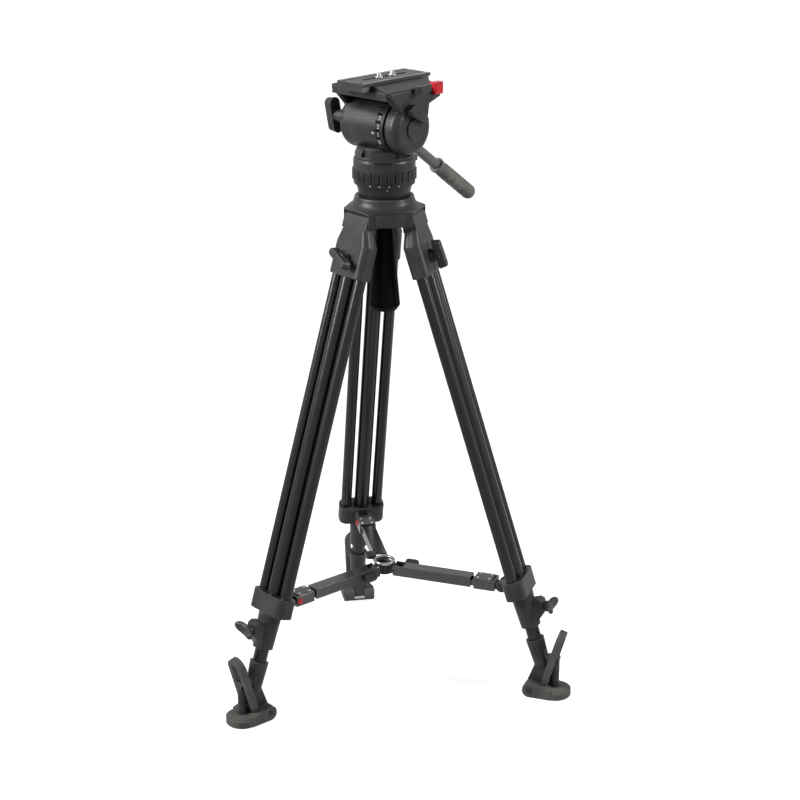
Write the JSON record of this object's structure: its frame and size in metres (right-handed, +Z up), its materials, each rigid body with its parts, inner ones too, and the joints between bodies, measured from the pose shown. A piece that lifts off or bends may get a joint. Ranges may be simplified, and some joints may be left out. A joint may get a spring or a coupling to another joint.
{
  "type": "video tripod with fluid head",
  "caption": "Video tripod: fluid head with pan bar and sliding camera plate on a bowl crown, twin-tube telescopic legs, folding mid-level spreader and rubber feet.",
  "frame": {"origin": "point on the floor under the pan axis", "axes": "+Z up along the pan axis, -Y towards the front of the head and the subject, +X towards the operator's left"},
  "size_m": [0.4626, 0.5096, 0.823],
  "materials": {
    "black_casting": "textured matte black paint",
    "black_tube": "black anodised, satin",
    "black_polymer": "fine matte grain",
    "rubber_black": "matte",
    "rubber_grip": "matte, ridged",
    "steel": "satin",
    "bright_ring": "polished",
    "red_polymer": "glossy",
    "level_vial": "clear",
    "machined_plate": "black with machined edges"
  },
  "bodies": {
    "crown": {"crown": "black_casting", "leg_hinge_pins": "steel", "head_base": "black_casting"},
    "front_leg_upper": {"front_leg_knuckle": "black_polymer", "front_leg_centre_tube": "black_tube"},
    "front_leg_middle": {"front_leg_clamp_block": "black_polymer", "front_leg_twin_tubes": "black_tube", "front_leg_bracket": "black_polymer"},
    "front_leg_lower": {"front_leg_lower_tube": "black_tube", "front_leg_toe": "black_polymer", "front_leg_foot_pad": "rubber_black"},
    "front_leg_clamp_lever": {"front_leg_clamp_lever": "black_polymer"},
    "front_leg_clamp_knob": {"front_leg_clamp_knob": "black_polymer"},
    "front_arm_channel": {"front_arm_channel": "black_tube"},
    "front_arm_slider": {"front_arm_slider": "black_tube"},
    "left_leg_upper": {"left_leg_knuckle": "black_polymer", "left_leg_centre_tube": "black_tube"},
    "left_leg_middle": {"left_leg_clamp_block": "black_polymer", "left_leg_twin_tubes": "black_tube", "left_leg_bracket": "black_polymer"},
    "left_leg_lower": {"left_leg_lower_tube": "black_tube", "left_leg_toe": "black_polymer", "left_leg_foot_pad": "rubber_black"},
    "left_leg_clamp_lever": {"left_leg_clamp_lever": "black_polymer"},
    "left_leg_clamp_knob": {"left_leg_clamp_knob": "black_polymer"},
    "left_arm_channel": {"left_arm_channel": "black_tube"},
    "left_arm_slider": {"left_arm_slider": "black_tube"},
    "right_leg_upper": {"right_leg_knuckle": "black_polymer", "right_leg_centre_tube": "black_tube"},
    "right_leg_middle": {"right_leg_clamp_block": "black_polymer", "right_leg_twin_tubes": "black_tube", "right_leg_bracket": "black_polymer"},
    "right_leg_lower": {"right_leg_lower_tube": "black_tube", "right_leg_toe": "black_polymer", "right_leg_foot_pad": "rubber_black"},
    "right_leg_clamp_lever": {"right_leg_clamp_lever": "black_polymer"},
    "right_leg_clamp_knob": {"right_leg_clamp_knob": "black_polymer"},
    "right_arm_channel": {"right_arm_channel": "black_tube"},
    "right_arm_slider": {"right_arm_slider": "black_tube"},
    "spreader_hub": {"spreader_hub": "black_casting", "spreader_hub_ring": "bright_ring"},
    "tie_down_handle": {"tie_down_handle": "black_polymer"},
    "pan_drag_ring": {"pan_drag_ring": "black_polymer"},
    "pan": {"pan_housing": "black_casting", "bubble_level": "level_vial", "tilt_drum": "black_casting"},
    "pan_lock_lever": {"pan_lock_lever": "black_polymer"},
    "tilt_drag_ring": {"tilt_drag_ring": "black_polymer"},
    "tilt": {"tilt_platform": "black_casting", "tilt_axle_caps": "black_casting"},
    "tilt_lock_lever": {"tilt_lock_lever": "black_polymer"},
    "counterbalance_lever": {"counterbalance_lever": "black_polymer"},
    "camera_plate": {"camera_plate": "machined_plate"},
    "camera_screw_front": {"camera_screw_front": "steel"},
    "camera_screw_rear": {"camera_screw_rear": "steel"},
    "plate_lock_lever": {"plate_lock_lever": "black_polymer"},
    "plate_release_button": {"plate_release_button": "red_polymer"},
    "pan_bar": {"pan_bar": "black_tube", "pan_bar_grip": "rubber_grip"},
    "pan_bar_clamp_knob": {"pan_bar_clamp_knob": "black_polymer"}
  },
  "joints": [
    {"name": "front_leg_spread", "type": "hinge", "parent": "crown", "child": "front_leg_upper", "pos_m": [-0.00411, -0.03909, 0.6424], "axis": [-0.9945, 0.1045, 0], "range_deg": [-16.5, 0]},
    {"name": "front_leg_middle_slide", "type": "slide", "parent": "front_leg_upper", "child": "front_leg_middle", "axis": [0.0316, 0.3007, 0.9532], "range_m": [-0.38, 0]},
    {"name": "front_leg_lower_slide", "type": "slide", "parent": "front_leg_middle", "child": "front_leg_lower", "axis": [0.0316, 0.3007, 0.9532], "range_m": [-0.38, 0]},
    {"name": "front_leg_clamp_lever_turn", "type": "hinge", "parent": "front_leg_middle", "child": "front_leg_clamp_lever", "pos_m": [-0.00701, -0.0667, 0.59455], "axis": [-0.0996, -0.948, 0.3024], "range_deg": [0, 120]},
    {"name": "front_leg_clamp_knob_turn", "type": "hinge", "parent": "front_leg_middle", "child": "front_leg_clamp_knob", "pos_m": [-0.02372, -0.22568, 0.12701], "axis": [-0.0996, -0.948, 0.3024], "range_deg": [0, 180]},
    {"name": "front_arm_channel_swing", "type": "hinge", "parent": "spreader_hub", "child": "front_arm_channel", "pos_m": [-0.00157, -0.01492, 0.14994], "axis": [-0.9945, 0.1045, 0], "range_deg": [-87.9, 0.1]},
    {"name": "front_arm_slider_swing", "type": "hinge", "parent": "front_leg_middle", "child": "front_arm_slider", "pos_m": [-0.01759, -0.16732, 0.14994], "axis": [-0.9945, 0.1045, 0], "range_deg": [-71.4, 0.1]},
    {"name": "left_leg_spread", "type": "hinge", "parent": "crown", "child": "left_leg_upper", "pos_m": [0.0359, 0.01598, 0.6424], "axis": [0.4067, -0.9135, 0], "range_deg": [-16.5, 0]},
    {"name": "left_leg_middle_slide", "type": "slide", "parent": "left_leg_upper", "child": "left_leg_middle", "axis": [-0.2762, -0.123, 0.9532], "range_m": [-0.38, 0]},
    {"name": "left_leg_lower_slide", "type": "slide", "parent": "left_leg_middle", "child": "left_leg_lower", "axis": [-0.2762, -0.123, 0.9532], "range_m": [-0.38, 0]},
    {"name": "left_leg_clamp_lever_turn", "type": "hinge", "parent": "left_leg_middle", "child": "left_leg_clamp_lever", "pos_m": [0.06127, 0.02728, 0.59455], "axis": [0.8708, 0.3877, 0.3024], "range_deg": [0, 120]},
    {"name": "left_leg_clamp_knob_turn", "type": "hinge", "parent": "left_leg_middle", "child": "left_leg_clamp_knob", "pos_m": [0.2073, 0.0923, 0.12701], "axis": [0.8708, 0.3877, 0.3024], "range_deg": [0, 180]},
    {"name": "left_arm_channel_swing", "type": "hinge", "parent": "spreader_hub", "child": "left_arm_channel", "pos_m": [0.0137, 0.0061, 0.14994], "axis": [0.4067, -0.9135, 0], "range_deg": [-87.9, 0.1]},
    {"name": "left_arm_slider_swing", "type": "hinge", "parent": "left_leg_middle", "child": "left_arm_slider", "pos_m": [0.1537, 0.06843, 0.14994], "axis": [0.4067, -0.9135, 0], "range_deg": [-71.4, 0.1]},
    {"name": "right_leg_spread", "type": "hinge", "parent": "crown", "child": "right_leg_upper", "pos_m": [-0.03179, 0.0231, 0.6424], "axis": [0.5878, 0.809, 0], "range_deg": [-16.5, 0]},
    {"name": "right_leg_middle_slide", "type": "slide", "parent": "right_leg_upper", "child": "right_leg_middle", "axis": [0.2446, -0.1777, 0.9532], "range_m": [-0.38, 0]},
    {"name": "right_leg_lower_slide", "type": "slide", "parent": "right_leg_middle", "child": "right_leg_lower", "axis": [0.2446, -0.1777, 0.9532], "range_m": [-0.38, 0]},
    {"name": "right_leg_clamp_lever_turn", "type": "hinge", "parent": "right_leg_middle", "child": "right_leg_clamp_lever", "pos_m": [-0.05426, 0.03942, 0.59455], "axis": [-0.7711, 0.5603, 0.3024], "range_deg": [0, 120]},
    {"name": "right_leg_clamp_knob_turn", "type": "hinge", "parent": "right_leg_middle", "child": "right_leg_clamp_knob", "pos_m": [-0.18358, 0.13338, 0.12701], "axis": [-0.7711, 0.5603, 0.3024], "range_deg": [0, 180]},
    {"name": "right_arm_channel_swing", "type": "hinge", "parent": "spreader_hub", "child": "right_arm_channel", "pos_m": [-0.01213, 0.00882, 0.14994], "axis": [0.5878, 0.809, 0], "range_deg": [-87.9, 0.1]},
    {"name": "right_arm_slider_swing", "type": "hinge", "parent": "right_leg_middle", "child": "right_arm_slider", "pos_m": [-0.13611, 0.09889, 0.14994], "axis": [0.5878, 0.809, 0], "range_deg": [-71.4, 0.1]},
    {"name": "spreader_hub_rise", "type": "slide", "parent": "crown", "child": "spreader_hub", "axis": [0, 0, 1], "range_m": [-0.0005, 0.1625]},
    {"name": "tie_down_turn", "type": "hinge", "parent": "crown", "child": "tie_down_handle", "pos_m": [0, 0, 0.65057], "axis": [0, 0, 1], "continuous": true},
    {"name": "pan_drag_turn", "type": "hinge", "parent": "crown", "child": "pan_drag_ring", "pos_m": [0, 0, 0.69], "axis": [0, 0, 1], "range_deg": [-90, 90]},
    {"name": "pan_turn", "type": "hinge", "parent": "crown", "child": "pan", "pos_m": [0, 0, 0.7028], "axis": [0, 0, 1], "continuous": true},
    {"name": "pan_lock_swing", "type": "hinge", "parent": "pan", "child": "pan_lock_lever", "pos_m": [0, 0, 0.717], "axis": [0, 0, 1], "range_deg": [-25, 0]},
    {"name": "tilt_drag_turn", "type": "hinge", "parent": "pan", "child": "tilt_drag_ring", "pos_m": [0, 0, 0.758], "axis": [1, 0, 0], "range_deg": [-90, 90]},
    {"name": "tilt_turn", "type": "hinge", "parent": "pan", "child": "tilt", "pos_m": [0, 0, 0.758], "axis": [1, 0, 0], "range_deg": [-25, 75]},
    {"name": "tilt_lock_swing", "type": "hinge", "parent": "tilt", "child": "tilt_lock_lever", "pos_m": [0.051, -0.008, 0.783], "axis": [1, 0, 0], "range_deg": [-100, 0]},
    {"name": "counterbalance_turn", "type": "hinge", "parent": "tilt", "child": "counterbalance_lever", "pos_m": [-0.051, -0.025, 0.765], "axis": [-1, 0, 0], "range_deg": [-90, 90]},
    {"name": "plate_slide", "type": "slide", "parent": "tilt", "child": "camera_plate", "axis": [0, 1, 0], "range_m": [-0.03, 0.03]},
    {"name": "camera_screw_front_turn", "type": "hinge", "parent": "camera_plate", "child": "camera_screw_front", "pos_m": [0, -0.01, 0.818], "axis": [0, 0, 1], "continuous": true},
    {"name": "camera_screw_rear_turn", "type": "hinge", "parent": "camera_plate", "child": "camera_screw_rear", "pos_m": [0, 0.014, 0.818], "axis": [0, 0, 1], "continuous": true},
    {"name": "plate_lock_swing", "type": "hinge", "parent": "tilt", "child": "plate_lock_lever", "pos_m": [0.0565, 0.002, 0.804], "axis": [0, 0, 1], "range_deg": [-60, 0]},
    {"name": "release_press", "type": "slide", "parent": "tilt", "child": "plate_release_button", "axis": [-1, 0, 0], "range_m": [0, 0.003], "stiffness_N_per_m": 600},
    {"name": "pan_bar_swing", "type": "hinge", "parent": "tilt", "child": "pan_bar", "pos_m": [-0.0638, 0.033, 0.768], "axis": [-1, 0, 0], "range_deg": [-90, 20]},
    {"name": "pan_bar_knob_turn", "type": "hinge", "parent": "tilt", "child": "pan_bar_clamp_knob", "pos_m": [-0.0716, 0.033, 0.768], "axis": [-1, 0, 0], "continuous": true}
  ],
  "couplings": [
    {"joint": "front_arm_channel_swing", "follows": "front_leg_spread", "ratio": 5.2972},
    {"joint": "front_arm_slider_swing", "follows": "front_leg_spread", "ratio": 4.2972},
    {"joint": "left_leg_spread", "follows": "front_leg_spread", "ratio": 1},
    {"joint": "left_arm_channel_swing", "follows": "front_leg_spread", "ratio": 5.2972},
    {"joint": "left_arm_slider_swing", "follows": "front_leg_spread", "ratio": 4.2972},
    {"joint": "right_leg_spread", "follows": "front_leg_spread", "ratio": 1},
    {"joint": "right_arm_channel_swing", "follows": "front_leg_spread", "ratio": 5.2972},
    {"joint": "right_arm_slider_swing", "follows": "front_leg_spread", "ratio": 4.2972},
    {"joint": "spreader_hub_rise", "follows": "front_leg_spread", "m_per_rad": -0.56072}
  ]
}
